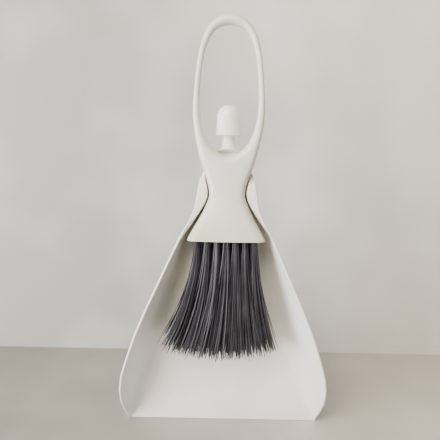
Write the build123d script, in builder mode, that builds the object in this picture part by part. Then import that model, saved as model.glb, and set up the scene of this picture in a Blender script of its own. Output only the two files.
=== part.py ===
from build123d import *
import os
from math import cos, sin, pi, sqrt

# Hand broom clipped into its dustpan, upright as it hangs on a wall.
# Millimetres. X is to the right, Y runs from the front to the back, Z is up.
# The origin is the hanging point: on the plane of the pan's flat back, level with the inside of the
# loop's top, where a hook comes out of the wall.
# Levels are heights above the pan's lip, and depths are distances in front of the pan's flat back.

# Whole set
overall_height = 341.0
seat_clearance = 0.3
overrun = 2.0

# Broom, seen from the front
hem_level = 176.0
hem_width = 60.2
waist_level = 210.5
waist_width = 27.7
shoulder_level = 229.0
shoulder_width = 37.8
neckline_level = 240.0
loop_width = 54.0
loop_opening_width = 44.4
loop_bar = 7.0

# Broom, seen from the side
hem_depth = 34.0
skirt_level = 187.5
skirt_depth = 32.3
waist_depth = 25.5
chest_depth = 22.5
arm_front_depth = 18.5
broom_back_depth = 9.5
arm_edge_radius = 1.6
back_edge_radius = 1.0
shell_wall = 1.7

# Clip between broom and dustpan
peg_level = 224.0
peg_radius = 4.0
peg_length = 8.5
peg_nose_radius = 1.0
socket_wall = 2.2

# Bristle block and tufts
tuft_rows = 3
row_tufts = 7
block_thickness = 9.5
block_recess = 0.8
hole_radius = 2.3
hole_depth = 6.2
tuft_pitch = 7.1
row_pitch = 6.7
front_row_depth = 27.3
fit_clearance = 0.1
anchor_thickness = 0.5
anchor_height = 1.6
anchor_seat = 1.5
root_overhang = 0.5
strand_sides = 3
inner_strands = 6
outer_strands = 12
strand_radius = 0.38
strand_tip_radius = 0.26
root_bundle = 1.86
root_reach = 23.2
mid_level = 125.0
mid_left_reach = 34.8
mid_right_reach = 31.7
mid_bundle_width = 4.2
mid_bundle_depth = 3.4
mid_front_row_depth = 30.2
mid_row_pitch = 8.0
tip_level = 80.0
tip_left_reach = 56.0
tip_right_reach = 45.5
tip_bundle_width = 6.6
tip_bundle_depth = 4.3
tip_front_row_depth = 33.0
tip_row_pitch = 9.5
tip_rise = 14.0
tip_shift = 4.0
tip_raggedness = 5.0
golden_share = 0.618

# Dustpan
pan_wall = 2.2
lip_thickness = 1.2
lip_width = 170.5
lip_flare = 0.8
pan_width = 174.4
pan_depth = 35.5
pan_corner_radius = 7.0
corner_share = 0.45
trough_gap = 1.2
trough_rim_gap = 8.4
trough_depth = 27.7
trough_floor = 8.7
trough_draft = 0.04
trough_end_level = 230.0
knee_share = 0.6
pan_shoulder_level = 243.0
pan_shoulder_width = 29.0
neck_level = 249.5
neck_width = 9.4
hair_level = 255.2
hair_width = 20.4
crown_width = 18.4
head_level = 278.0
head_depth = 8.6
head_thickness_share = 0.78
neck_flare = 27.0
neck_flare_radius = 9.5
neck_inset = 0.3

# Places that follow from the sizes
lip_z = loop_bar - overall_height
hem_half = hem_width / 2
waist_half = waist_width / 2
shoulder_half = shoulder_width / 2
rest_depth = broom_back_depth - seat_clearance

# Outlines, as shares of the sizes that they follow.
# The torso's are (across, along) from the hem to the waist and from the waist to the shoulders.
# The pan's are (level, floor half-width, rim half-width, rim depth).
# The trough's are (rim gap, rim depth, rise of the floor from the pan's to the trough's own, and how
# far the wall has become a tight one along the broom with a flat flange outside it).
skirt_shares = ((1, 1), (0.80, 0.82), (0.53, 0.60), (0.28, 0.38), (0.08, 0.16), (0, 0))
chest_shares = ((0.11, 0.26), (0.48, 0.62), (1, 1))
loop_outer_shares = ((0.852, 0.127), (1, 0.36), (0.963, 0.564), (0.848, 0.768), (0.48, 0.957))
loop_inner_shares = ((0.55, 0.062), (0.86, 0.19), (1, 0.45), (0.93, 0.68), (0.72, 0.878), (0.42, 0.972))
pan_shares = (
    (0.0455, 0.947, 0.986, 0.18),
    (0.091, 0.920, 0.9965, 0.35),
    (0.182, 0.860, 1, 0.66),
    (0.273, 0.794, 0.991, 0.86),
    (0.358, 0.717, 0.962, 0.94),
    (0.443, 0.642, 0.909, 0.98),
    (0.568, 0.550, 0.822, 1),
    (0.682, 0.491, 0.726, 0.96),
    (0.795, 0.4415, 0.622, 0.89),
    (0.898, 0.401, 0.5275, 0.84),
)
trough_shares = (
    (0.88, 1, 0, 0),
    (0.895, 0.97, 0.15, 0.2),
    (0.863, 0.92, 0.55, 0.45),
    (0.895, 0.875, 0.9, 0.75),
    (1.08, 0.83, 1, 1),
    (1.14, 0.795, 1, 1),
    (0.98, 0.745, 1, 1),
    (0.64, 0.66, 1, 1),
    (-0.06, 0, 1, 1),
)


def torso_edge(grow):
    """Half-widths and levels of the torso from the hem to the shoulders, moved outwards by grow."""
    edge = []
    for across, down in skirt_shares:
        half = waist_half + (hem_half - waist_half) * across
        edge.append((half + grow, waist_level - (waist_level - hem_level) * down))
    for across, up in chest_shares:
        half = waist_half + (shoulder_half - waist_half) * across
        edge.append((half + grow, waist_level + (shoulder_level - waist_level) * up))
    return edge


def both_sides(edge):
    """Outline points from the right side's foot over the top to the left side's foot."""
    right = [(x, lip_z + level) for x, level in edge]
    left = [(-x, z) for x, z in reversed(right) if x > 0]
    return right + left


# Depths of the broom's front face from the hem to the top of the loop
front_levels = (
    (hem_depth, hem_level),
    (skirt_depth, skirt_level),
    (waist_depth, waist_level),
    (chest_depth, shoulder_level),
    (arm_front_depth, (neckline_level + overall_height) / 2),
    (arm_front_depth, overall_height + overrun),
)


def front_points(inset):
    """Side view of the broom's front face, set back by inset."""
    return [(inset - depth, lip_z + level) for depth, level in front_levels]


def back_points(front):
    """Side view from the front face's top end, round the wall plane, to the front face's hem end."""
    return (front[-1], (0, front[-1][1]), (0, front[0][1]), front[0])


# The broom's moulding: raised arms that join in a loop, chest, waist and skirt, hollow at the back
with BuildPart() as broom_handle:
    with BuildSketch(Plane.XZ.offset(broom_back_depth)):
        outer = torso_edge(0)
        loop_rise = overall_height - shoulder_level
        for across, up in loop_outer_shares:
            outer.append((loop_width / 2 * across, shoulder_level + loop_rise * up))
        outer.append((0, overall_height))
        with BuildLine():
            outline = both_sides(outer)
            Spline(*outline)
            Line(outline[-1], outline[0])
        make_face()
        opening_rise = overall_height - loop_bar - neckline_level
        opening = [(0, neckline_level)]
        for across, up in loop_inner_shares:
            opening.append((loop_opening_width / 2 * across, neckline_level + opening_rise * up))
        opening.append((0, overall_height - loop_bar))
        with BuildLine():
            Spline(*both_sides(opening), periodic=True)
        make_face(mode=Mode.SUBTRACT)
    extrude(amount=hem_depth)
    fillet(broom_handle.edges().filter_by(GeomType.BSPLINE).group_by(Axis.Y)[-1], back_edge_radius)
    with BuildSketch(Plane.YZ.offset(-loop_width)):
        front = front_points(0)
        with BuildLine():
            Spline(*front)
            Polyline(*back_points(front))
        make_face()
    extrude(amount=2 * loop_width, mode=Mode.INTERSECT)
    long_edges = broom_handle.edges().filter_by(lambda edge: edge.length > 2 * loop_width)
    middle_depth = (broom_back_depth + chest_depth) / 2
    fillet(long_edges.filter_by(lambda edge: edge.center().Y < -middle_depth), arm_edge_radius)


def shell_space(margin, back_depth, bottom, top):
    """The space inside the broom's shell, between two levels and margin away from its outer faces."""
    with BuildPart() as space:
        with BuildSketch(Plane.XZ.offset(back_depth)):
            edge = torso_edge(-margin)
            with BuildLine():
                outline = both_sides(edge)
                Spline(*outline[:len(edge)])
                Line(outline[len(edge) - 1], outline[len(edge)])
                Spline(*outline[len(edge):])
                Line(outline[-1], outline[0])
            make_face()
        extrude(amount=hem_depth)
        with BuildSketch(Plane.YZ.offset(-loop_width)):
            front = front_points(margin)
            with BuildLine():
                Spline(*front)
                Polyline(*back_points(front))
            make_face()
        extrude(amount=2 * loop_width, mode=Mode.INTERSECT)
        with BuildSketch(Plane.XY.offset(lip_z + bottom)):
            Rectangle(2 * loop_width, 2 * hem_depth)
        extrude(amount=top - bottom, mode=Mode.INTERSECT)
    return space.part


socket_radius = peg_radius + seat_clearance
shell_hollow = shell_space(shell_wall, broom_back_depth - overrun, hem_level, shoulder_level)
with broom_handle:
    add(shell_hollow, mode=Mode.SUBTRACT)
    # Socket for the dustpan's peg, standing inside the chest
    with BuildSketch(Plane.XZ.offset(broom_back_depth)):
        with Locations((0, lip_z + peg_level)):
            Circle(socket_radius + socket_wall)
    extrude(until=Until.NEXT)
    with BuildSketch(Plane.XZ.offset(broom_back_depth - overrun)):
        with Locations((0, lip_z + peg_level)):
            Circle(socket_radius)
    extrude(amount=peg_length + seat_clearance + overrun, mode=Mode.SUBTRACT)

# Tuft places: staggered rows from front to back, every other one a tuft shorter
block_level = hem_level + block_recess
tuft_places = []
for row in range(tuft_rows):
    count = row_tufts - row % 2
    for place in range(count):
        tuft_places.append(((place - (count - 1) / 2) * tuft_pitch, row))


def row_depth(row):
    return front_row_depth - row * row_pitch


# Insert that closes the skirt and holds the tufts
block_top = block_level + block_thickness
block_space = shell_space(shell_wall + fit_clearance, broom_back_depth, block_level, block_top)
with BuildPart() as bristle_block:
    add(block_space)
    with BuildSketch(Plane.XY.offset(lip_z + block_level)):
        for x, row in tuft_places:
            with Locations((x, -row_depth(row))):
                Circle(hole_radius)
    extrude(amount=hole_depth, mode=Mode.SUBTRACT)

# Flat wire anchors, one through the fold of each tuft, as one group
anchor_level = block_level + hole_depth - anchor_seat - anchor_height
with BuildPart() as tuft_anchors:
    with BuildSketch(Plane.XY.offset(lip_z + anchor_level)):
        for x, row in tuft_places:
            with Locations((x, -row_depth(row))):
                Rectangle(2 * (hole_radius - fit_clearance), anchor_thickness)
    extrude(amount=anchor_height)


# Bristles: each tuft is a round root in its hole, with strands that fan out below the hem
tuft_radius = hole_radius - fit_clearance
stage_levels = (block_level, mid_level, tip_level)
left_reaches = (root_reach, mid_left_reach, tip_left_reach)
right_reaches = (root_reach, mid_right_reach, tip_right_reach)
bundle_widths = (root_bundle, mid_bundle_width, tip_bundle_width)
bundle_depths = (root_bundle, mid_bundle_depth, tip_bundle_depth)
front_depths = (front_row_depth, mid_front_row_depth, tip_front_row_depth)
row_pitches = (row_pitch, mid_row_pitch, tip_row_pitch)
outer_reach = (row_tufts - 1) / 2 * tuft_pitch
ring_shares = [(0, 0)]
for around in range(inner_strands):
    turn = 2 * pi * around / inner_strands
    ring_shares.append((cos(turn) / 2, sin(turn) / 2))
for around in range(outer_strands):
    turn = 2 * pi * (around + 0.5) / outer_strands
    ring_shares.append((cos(turn), sin(turn)))


def at_level(stages, level):
    """A stage value at a level: straight from the root to the middle, and from there to the tips."""
    first = 0 if level > mid_level else 1
    share = (stage_levels[first] - level) / (stage_levels[first] - stage_levels[first + 1])
    return stages[first] + (stages[first + 1] - stages[first]) * share


def strand_place(tuft_x, row, ring, level):
    """X and Y of a strand of one tuft at a level."""
    left, right = at_level(left_reaches, level), at_level(right_reaches, level)
    bundle = at_level(bundle_widths, level)
    fan = ((left + right) / 2 - bundle) / outer_reach
    x = (right - left) / 2 + tuft_x * fan + ring[0] * bundle
    depth = at_level(front_depths, level) - row * at_level(row_pitches, level)
    return x, ring[1] * at_level(bundle_depths, level) - depth


def strand(tuft_x, row, ring, ragged_share):
    """One bristle: a three-sided tapering strand, straight to the middle and splayed below it."""
    tip_x = strand_place(tuft_x, row, ring, tip_level)[0]
    rise = tip_rise * ((tip_x + tip_shift) / tip_left_reach) ** 2
    end = tip_level + rise + tip_raggedness * (ragged_share - 0.5)
    sections = []
    stages = ((block_level, strand_radius), (mid_level, strand_radius), (end, strand_tip_radius))
    for level, radius in stages:
        x, y = strand_place(tuft_x, row, ring, level)
        sections.append(Pos(x, y, lip_z + level) * RegularPolygon(radius, strand_sides))
    return loft(sections, ruled=True)


tufts = []
for number, (tuft_x, row) in enumerate(tuft_places, 1):
    strands = []
    for index, ring in enumerate(ring_shares):
        ragged_share = (number * row_tufts + index) * golden_share % 1
        strands.append(strand(tuft_x, row, ring, ragged_share))
    with BuildPart() as tuft:
        with BuildSketch(Plane.XY.offset(lip_z + block_level - root_overhang)):
            with Locations((tuft_x, -row_depth(row))):
                Circle(tuft_radius)
        extrude(amount=hole_depth + root_overhang - fit_clearance)
        with BuildSketch(Plane.XY.offset(lip_z + anchor_level - fit_clearance)):
            with Locations((tuft_x, -row_depth(row))):
                Rectangle(2 * hole_radius, anchor_thickness + 2 * fit_clearance)
        extrude(amount=anchor_height + 2 * fit_clearance, mode=Mode.SUBTRACT)
        add(strands)
    tuft.part.label = f"tuft_{number:02d}"
    tufts.append(tuft)


# Dustpan sections from the lip to the shoulders: level, floor half-width, rim half-width, rim depth,
# depth of the floor's front face, and the half-width and share of the tight wall beside the broom
lip_half = lip_width / 2
pan_sections = [(0, lip_half, lip_half + lip_flare, lip_thickness, lip_thickness, lip_half, 0)]
for up, floor, rim, depth in pan_shares:
    halves = (pan_width / 2 * floor, pan_width / 2 * rim)
    pan_sections.append((hem_level * up, *halves, pan_depth * depth, pan_wall, halves[0], 0))
for (half, level), (gap, depth, rise, tight) in zip(torso_edge(0), trough_shares):
    throat_half = half + trough_gap
    rim_half = half + trough_rim_gap * gap
    floor_half = min(throat_half + pan_wall, rim_half - lip_flare)
    rim_depth = max(trough_depth * depth, rest_depth)
    floor_depth = pan_wall + (trough_floor - pan_wall) * rise
    pan_sections.append((level, floor_half, rim_half, rim_depth, floor_depth, throat_half, tight))
pan_shoulder_half = pan_shoulder_width / 2
shoulder_halves = (pan_shoulder_half - lip_flare, pan_shoulder_half)
pan_sections.append((pan_shoulder_level, *shoulder_halves, rest_depth, trough_floor, pan_shoulder_half, 1))


def mixed(first, second, share):
    return first + (second - first) * share


def mirrored(right):
    """Corner points from the left rim over the floor to the right rim, from those of the right side."""
    return [(-x, y) for x, y in reversed(right)] + right


def outer_points(level, floor_half, rim_half, depth, floor_depth, throat_half, tight):
    """Corner points outside the wall, up to the flange's edge, and the radius of the floor's corners."""
    slope = (rim_half - floor_half) / depth
    knee_depth = mixed(depth * knee_share, depth - pan_wall, tight)
    knee_half = floor_half + slope * knee_depth
    flange_half = throat_half + pan_wall + trough_draft * knee_depth
    knee_half = mixed(knee_half, min(knee_half, flange_half), tight)
    edge_half = mixed(rim_half - slope * lip_thickness / 2, rim_half, tight)
    side = sqrt((rim_half - floor_half) ** 2 + depth ** 2)
    half_turn = depth / (side + rim_half - floor_half)
    radius = min(pan_corner_radius, knee_depth * corner_share / half_turn, floor_half * corner_share)
    right = [(floor_half, 0), (knee_half, -knee_depth)]
    right += [(edge_half, -(depth - lip_thickness / 2)), (rim_half, -depth)]
    return mirrored(right), radius


def inner_points(level, floor_half, rim_half, depth, floor_depth, throat_half, tight):
    """Corner points inside the wall, a little proud of the rim, and the radius of the floor's corners."""
    slope = (rim_half - floor_half) / depth
    front = depth + overrun
    shift = pan_wall * sqrt(1 + slope * slope)
    foot_half = mixed(floor_half + slope * floor_depth - shift, throat_half, tight)
    tight_front = throat_half + trough_draft * (front - floor_depth)
    front_half = mixed(floor_half + slope * front - shift, tight_front, tight)
    side = sqrt((front_half - foot_half) ** 2 + (front - floor_depth) ** 2)
    half_turn = (front - floor_depth) / (side + front_half - foot_half)
    corner = mixed(pan_corner_radius - pan_wall, trough_gap, tight)
    radius = min(corner, side * corner_share / half_turn, foot_half * corner_share)
    return mirrored([(foot_half, -floor_depth), (front_half, -front)]), radius


# Neck and head of the dustpan, turned about an upright axis and then narrowed from front to back
head_axis = Axis((0, -head_depth, 0), (0, 0, 1))
with BuildPart() as round_head:
    with BuildSketch(Plane.XZ.offset(head_depth)):
        hair_half, neck_half, crown_half = hair_width / 2, neck_width / 2, crown_width / 2
        shoulder_top = lip_z + pan_shoulder_level
        flare_foot = (neck_flare / 2, shoulder_top - overrun)
        neck_top = (neck_half, lip_z + neck_level)
        crown_foot = (crown_half, lip_z + head_level - crown_half)
        with BuildLine():
            Polyline((0, lip_z + head_level), (0, shoulder_top - overrun), flare_foot)
            RadiusArc(flare_foot, neck_top, neck_flare_radius)
            Polyline(neck_top, (neck_half, lip_z + hair_level), (hair_half, lip_z + hair_level), crown_foot)
            RadiusArc(crown_foot, (0, lip_z + head_level), -crown_half)
        make_face()
    revolve(axis=head_axis)
narrow_head = scale(round_head.part, by=(1, head_thickness_share, 1), about=(0, -head_depth, 0))
neck_front = rest_depth - neck_inset
with BuildPart() as head:
    add(narrow_head)
    # Cut clear of the broom's neckline and of the flat back
    with BuildSketch(Plane.YZ.offset(-loop_width)):
        with BuildLine():
            Polyline(
                (-neck_inset, shoulder_top - 2 * overrun),
                (-neck_front, shoulder_top - 2 * overrun),
                (-neck_front, shoulder_top),
                (-neck_front - (neck_level - pan_shoulder_level), lip_z + neck_level),
                (-hem_depth, lip_z + neck_level),
                (-hem_depth, lip_z + overall_height),
                (-neck_inset, lip_z + overall_height),
                close=True,
            )
        make_face()
    extrude(amount=2 * loop_width, mode=Mode.INTERSECT)

# The dustpan's moulding: pan, side walls, trough for the broom, shoulders, neck, head and clip peg
with BuildPart() as dustpan:
    for section in pan_sections:
        points, radius = outer_points(*section)
        with BuildSketch(Plane.XY.offset(lip_z + section[0])) as outside:
            with BuildLine():
                Polyline(*points, close=True)
            make_face()
            fillet(outside.vertices().group_by(Axis.Y)[-1], radius)
    loft(ruled=True)
    add(head.part)
    open_sections = [section for section in pan_sections if section[0] < trough_end_level]
    open_sections.append((trough_end_level, *open_sections[-1][1:]))
    open_sections.insert(0, (-overrun, *open_sections[0][1:]))
    for section in open_sections:
        points, radius = inner_points(*section)
        with BuildSketch(Plane.XY.offset(lip_z + section[0])) as inside:
            with BuildLine():
                Polyline(*points, close=True)
            make_face()
            fillet(inside.vertices().group_by(Axis.Y)[-1], radius)
    loft(ruled=True, mode=Mode.SUBTRACT)
    # The shoulders are cored out from behind
    with BuildSketch(Plane.XZ.offset(-overrun)):
        core_bottom = waist_level - pan_wall
        core_top = pan_shoulder_level - pan_wall
        with Locations((0, lip_z + (core_bottom + core_top) / 2)):
            RectangleRounded(pan_shoulder_width - 2 * pan_wall, core_top - core_bottom, pan_wall)
    extrude(amount=overrun + rest_depth - pan_wall, mode=Mode.SUBTRACT)
    # Peg that the broom's chest is pushed onto
    with BuildSketch(Plane.XZ.offset(rest_depth - pan_wall / 2)):
        with Locations((0, lip_z + peg_level)):
            Circle(peg_radius)
    extrude(amount=peg_length + pan_wall / 2)
    nose = dustpan.edges().filter_by(GeomType.CIRCLE).sort_by(Axis.Y)[0]
    fillet(nose, peg_nose_radius)

broom_handle.part.label = "broom_handle"
bristle_block.part.label = "bristle_block"
tuft_anchors.part.label = "tuft_anchors"
dustpan.part.label = "dustpan"
for piece in (broom_handle, bristle_block, tuft_anchors, dustpan, *tufts):
    export_step(piece.part, f"parts/{piece.part.label}.step")
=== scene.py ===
# %% [markdown]
# A hand broom stands clipped in its dustpan. The CAD model already holds every part at its true size
# and place, so it is loaded first as a fixed frame. The plastic mouldings and the bristles are then
# dressed with finer meshes around it, because CAD solids keep edges and strands plainer than real ones.
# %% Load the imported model
import math
import random

import bmesh
import bpy
import numpy as np
from mathutils import Matrix, Vector
from mathutils.geometry import delaunay_2d_cdt


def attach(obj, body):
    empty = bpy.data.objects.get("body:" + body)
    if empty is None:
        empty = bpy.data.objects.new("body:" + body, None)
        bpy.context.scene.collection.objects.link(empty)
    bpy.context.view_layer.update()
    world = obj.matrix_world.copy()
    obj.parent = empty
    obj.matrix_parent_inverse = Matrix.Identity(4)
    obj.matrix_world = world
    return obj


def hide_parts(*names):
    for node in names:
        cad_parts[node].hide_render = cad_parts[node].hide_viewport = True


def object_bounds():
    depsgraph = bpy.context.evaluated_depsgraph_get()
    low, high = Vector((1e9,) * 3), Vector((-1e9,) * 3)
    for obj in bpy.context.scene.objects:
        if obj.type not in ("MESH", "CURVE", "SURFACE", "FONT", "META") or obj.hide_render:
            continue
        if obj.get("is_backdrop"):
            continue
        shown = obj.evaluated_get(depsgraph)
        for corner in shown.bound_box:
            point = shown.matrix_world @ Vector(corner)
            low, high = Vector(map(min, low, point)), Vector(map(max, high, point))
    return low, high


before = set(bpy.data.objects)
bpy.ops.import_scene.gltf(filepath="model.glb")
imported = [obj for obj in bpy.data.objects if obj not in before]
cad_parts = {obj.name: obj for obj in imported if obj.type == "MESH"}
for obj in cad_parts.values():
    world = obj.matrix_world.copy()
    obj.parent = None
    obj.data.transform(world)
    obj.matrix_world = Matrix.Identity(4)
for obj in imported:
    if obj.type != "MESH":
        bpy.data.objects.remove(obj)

cad_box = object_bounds()

# %% [markdown]
# The frame's origin is where a hook would hold the loop. Everything here is written in millimetres as
# a level above the pan's lip and a depth in front of the pan's flat back, since those are the sizes
# that can be read off the real set with a ruler. One helper turns them into Blender's metres, and
# another puts a new object into the scene.
# %% Units and places
MM = 0.001
LIP_Z = -334.0


def place(x, depth, level):
    """A point in metres from millimetres across, in front of the back plane and above the lip."""
    return Vector((x * MM, -depth * MM, (LIP_Z + level) * MM))


def new_object(name, data):
    thing = bpy.data.objects.new(name, data)
    bpy.context.scene.collection.objects.link(thing)
    return thing


print("lip", tuple(round(v, 4) for v in place(0, 0, 0)))

# %% [markdown]
# The photograph was taken from close by, level with the neck and looking down a little. A short lens
# at that distance makes the pan's lip look wider than its shoulders, so the camera comes before any
# shape is judged.
# %% Camera
CAMERA_PLACE = (-0.0051, -0.327, -0.0831)
CAMERA_PITCH = 11.16
CAMERA_ROLL = 1.14
FOCAL, FRAME = 400.0, 440
camera_data = bpy.data.cameras.new("photo_camera")
camera_data.sensor_width = 36.0
camera_data.lens = camera_data.sensor_width * FOCAL / FRAME
camera_data.clip_start = 0.01
camera = new_object("photo_camera", camera_data)
camera.location = CAMERA_PLACE
pitched = Matrix.Rotation(math.radians(90 - CAMERA_PITCH), 3, "X")
camera.rotation_euler = (pitched @ Matrix.Rotation(math.radians(CAMERA_ROLL), 3, "Z")).to_euler()
bpy.context.scene.camera = camera
bpy.context.view_layer.update()


def pixel(point):
    """Where a point lands in the photograph's frame of 440 by 440."""
    x, y, z = camera.matrix_world.inverted() @ point
    return round(FRAME / 2 - FOCAL * x / z, 1), round(FRAME / 2 + FOCAL * y / z, 1)


print("top of the loop", pixel(place(0, 14, 341)), "middle of the lip", pixel(place(0, 0, 0)))

# %% [markdown]
# A moulded outline is a curve with steady bends, like a bent spline of wood. The same kind of curve is
# worked out here from a few points: a cubic between each pair, with slopes and bends that agree where
# they meet.
# %% Smooth curves through points


def smooth_line(points, step, closed=False):
    """Points about step apart on the smooth curve through the given ones."""
    knots = np.array(points, float)
    if closed:
        knots = np.vstack([knots, knots[:1]])
    gaps = np.linalg.norm(np.diff(knots, axis=0), axis=1)
    slopes = np.diff(knots, axis=0) / gaps[:, None]
    count = len(knots)
    system, known = np.zeros((count, count)), np.zeros(knots.shape)
    for i in range(1, count - 1):
        system[i, i - 1:i + 2] = gaps[i - 1], 2 * (gaps[i - 1] + gaps[i]), gaps[i]
        known[i] = 6 * (slopes[i] - slopes[i - 1])
    if closed:
        system[0, 0], system[0, -1] = 1, -1
        system[-1, :2] += 2 * gaps[0], gaps[0]
        system[-1, -2:] += gaps[-1], 2 * gaps[-1]
        known[-1] = 6 * (slopes[0] - slopes[-1])
    else:
        system[0, 0] = system[-1, -1] = 1
    bends = np.linalg.solve(system, known)
    line = []
    for i, gap in enumerate(gaps):
        for u in np.linspace(0, gap, max(2, round(gap / step)) + 1)[:-1]:
            rest = gap - u
            line.append(
                bends[i] * (rest**3 / gap - gap * rest) / 6
                + bends[i + 1] * (u**3 / gap - gap * u) / 6
                + (knots[i] * rest + knots[i + 1] * u) / gap
            )
    if not closed:
        line.append(knots[-1])
    return np.array(line)


def eased(value, start, end):
    """0 at start, 1 at end, with a soft run between."""
    t = np.clip((value - start) / (end - start), 0, 1)
    return t * t * (3 - 2 * t)


print("points on a test curve", len(smooth_line([(0, 0), (5, 2), (10, 0)], 1.0)))

# %% [markdown]
# The broom's moulding is one silhouette: a flared skirt, a narrow waist, shoulders, and two arms that
# meet in a tall loop. Both edges of the loop are drawn as smooth curves through the same points as the
# CAD outline.
# %% Broom outlines
HEM, WAIST, SHOULDER, NECKLINE, TOP = 176.0, 210.5, 229.0, 240.0, 341.0
HEM_HALF, WAIST_HALF, SHOULDER_HALF = 30.1, 13.85, 18.9
LOOP_HALF, OPENING_HALF, LOOP_BAR = 27.0, 22.2, 7.0
SKIRT = ((1, 1), (0.80, 0.82), (0.53, 0.60), (0.28, 0.38), (0.08, 0.16), (0, 0))
CHEST = ((0.11, 0.26), (0.48, 0.62), (1, 1))
LOOP_OUTER = ((0.852, 0.127), (1, 0.36), (0.963, 0.564), (0.848, 0.768), (0.48, 0.957))
LOOP_INNER = ((0.55, 0.062), (0.86, 0.19), (1, 0.45), (0.93, 0.68), (0.72, 0.878), (0.42, 0.972))
FRONT = ((160, 36.1), (176, 34), (187.5, 32.3), (210.5, 25.5), (229, 22.5), (290.5, 18.5), (343, 18.5))
BACK_DEPTH, PEG_LEVEL = 9.5, 224.0


def torso_edge():
    """Half-widths and levels of the torso from the hem to the shoulders."""
    skirt = [(WAIST_HALF + (HEM_HALF - WAIST_HALF) * a, WAIST - (WAIST - HEM) * d)
             for a, d in SKIRT]
    chest = [(WAIST_HALF + (SHOULDER_HALF - WAIST_HALF) * a, WAIST + (SHOULDER - WAIST) * u)
             for a, u in CHEST]
    return skirt + chest


def mirrored(right):
    return right + [(-x, z) for x, z in reversed(right) if x > 0]


FOOT_HALF, FOOT = 36.2, 164.0
OUTLINE_STEP = 1.1
edge_points = [(FOOT_HALF, FOOT)] + torso_edge()
edge_points += [(LOOP_HALF * a, SHOULDER + (TOP - SHOULDER) * u) for a, u in LOOP_OUTER]
outer_line = smooth_line(mirrored(edge_points + [(0, TOP)]), OUTLINE_STEP)
opening_rise = TOP - LOOP_BAR - NECKLINE
opening_points = [(0, NECKLINE)]
opening_points += [(OPENING_HALF * a, NECKLINE + opening_rise * u) for a, u in LOOP_INNER]
opening_points.append((0, TOP - LOOP_BAR))
opening_line = smooth_line(mirrored(opening_points), OUTLINE_STEP, closed=True)
front_line = smooth_line([(level, depth) for level, depth in FRONT], 0.5)
print("outline points", len(outer_line), "opening points", len(opening_line))

# %% [markdown]
# A rounded bar could be swept along the loop, but then the arms would only be stuck onto the chest.
# Instead the whole front is one sheet of points: rings that follow the outline inwards, and a loose
# grid in the middle. Each point's depth comes from its distance to the edge, so a wide chest gets
# soft shoulders and a thin arm becomes fully round, with no seam between them.
# %% Distance to the edge


def distances(points, line, closed):
    """Each point's distance to a line of short runs."""
    a = line
    b = np.roll(line, -1, axis=0) if closed else line[1:]
    a = a if closed else line[:-1]
    run = b - a
    lengths = (run**2).sum(1)
    best = np.full(len(points), np.inf)
    for i in range(len(a)):
        t = np.clip(((points - a[i]) @ run[i]) / lengths[i], 0, 1)
        gap = points - a[i] - t[:, None] * run[i]
        best = np.minimum(best, np.sqrt((gap**2).sum(1)))
    return best


def inward_normals(line, closed, side):
    """Unit normals of a line; side is 1 where the material lies to the left."""
    if closed:
        run = np.roll(line, -1, axis=0) - np.roll(line, 1, axis=0)
    else:
        run = np.gradient(line, axis=0)
    run /= np.linalg.norm(run, axis=1)[:, None]
    return np.stack([-run[:, 1], run[:, 0]], axis=1) * side


def inside(points, loop):
    """True for the points that lie inside a closed loop."""
    x, z = points[:, 0], points[:, 1]
    found = np.zeros(len(points), bool)
    for (ax, az), (bx, bz) in zip(loop, np.roll(loop, -1, axis=0)):
        crosses = (az > z) != (bz > z)
        with np.errstate(divide="ignore", invalid="ignore"):
            found ^= crosses & (x < (bx - ax) * (z - az) / (bz - az) + ax)
    return found


chest_point = np.array([[0.0, PEG_LEVEL]])
print("chest to the edge", distances(chest_point, outer_line, False).round(1))

# %% [markdown]
# The sheet has two kinds of faces. Near an edge, rings follow the outline and give clean strips that
# turn the corner. The rings stand closer together at the outline, where the rounding is steepest.
# %% Rings along an edge
RING_TURNS = (0, 12, 24, 37, 51, 65, 80)


def ring_strip(line, normals, closed, radius, start):
    """Rings of points inwards from a line, with their gaps, faces, rim and innermost edges."""
    size = len(line)
    gaps = [radius * (1 - math.cos(math.radians(turn))) for turn in RING_TURNS]
    rings = [line + normals * gap[:, None] for gap in gaps]
    faces = []
    for ring in range(len(RING_TURNS) - 1):
        low, high = start + ring * size, start + (ring + 1) * size
        for i in range(size if closed else size - 1):
            j = (i + 1) % size
            faces.append((low + i, low + j, high + j, high + i))
    last = start + (len(RING_TURNS) - 1) * size
    rim = list(range(start, start + size))
    if not closed:
        rim += range(start + 2 * size - 1, last + size, size)
        rim += range(last, start, -size)
    edges = [(last + i, last + (i + 1) % size) for i in range(size)]
    return rings, gaps, faces, rim, edges


print("rings along each edge", len(RING_TURNS))

# %% [markdown]
# In the middle of the sheet there is nothing to follow, so a loose grid of points fills it. Points
# that would crowd the innermost rings are left out.
# %% Loose grid in the middle


def loose_grid(outer, opening, inner, roundness, spacing):
    """Grid points inside the innermost rings, with their distances to the edge and local roundness."""
    low, high = outer.min(0), outer.max(0)
    grid = np.array([(x, z) for z in np.arange(low[1], high[1], spacing)
                     for x in np.arange(low[0] - low[0] % spacing, high[0], spacing)])
    keep = inside(grid, inner[0])
    gaps = distances(grid, inner[0], True)
    local = np.full(len(grid), roundness)
    if opening is not None:
        keep &= ~inside(grid, inner[1])
        gaps = np.minimum(gaps, distances(grid, inner[1], True))
        wide = distances(grid, outer, False) + distances(grid, opening, True)
        local = np.minimum(local, wide / 2)
    keep &= gaps > spacing * 0.6
    grid, local = grid[keep], local[keep]
    reach = distances(grid, outer, False)
    if opening is not None:
        reach = np.minimum(reach, distances(grid, opening, True))
    return grid, reach, local


EDGE_ROLL, SHEET_SPACING = 4.6, 2.2
rough_grid = loose_grid(outer_line, opening_line, [outer_line, opening_line], EDGE_ROLL, 9.0)
print("points of a rough grid", len(rough_grid[0]))

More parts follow.
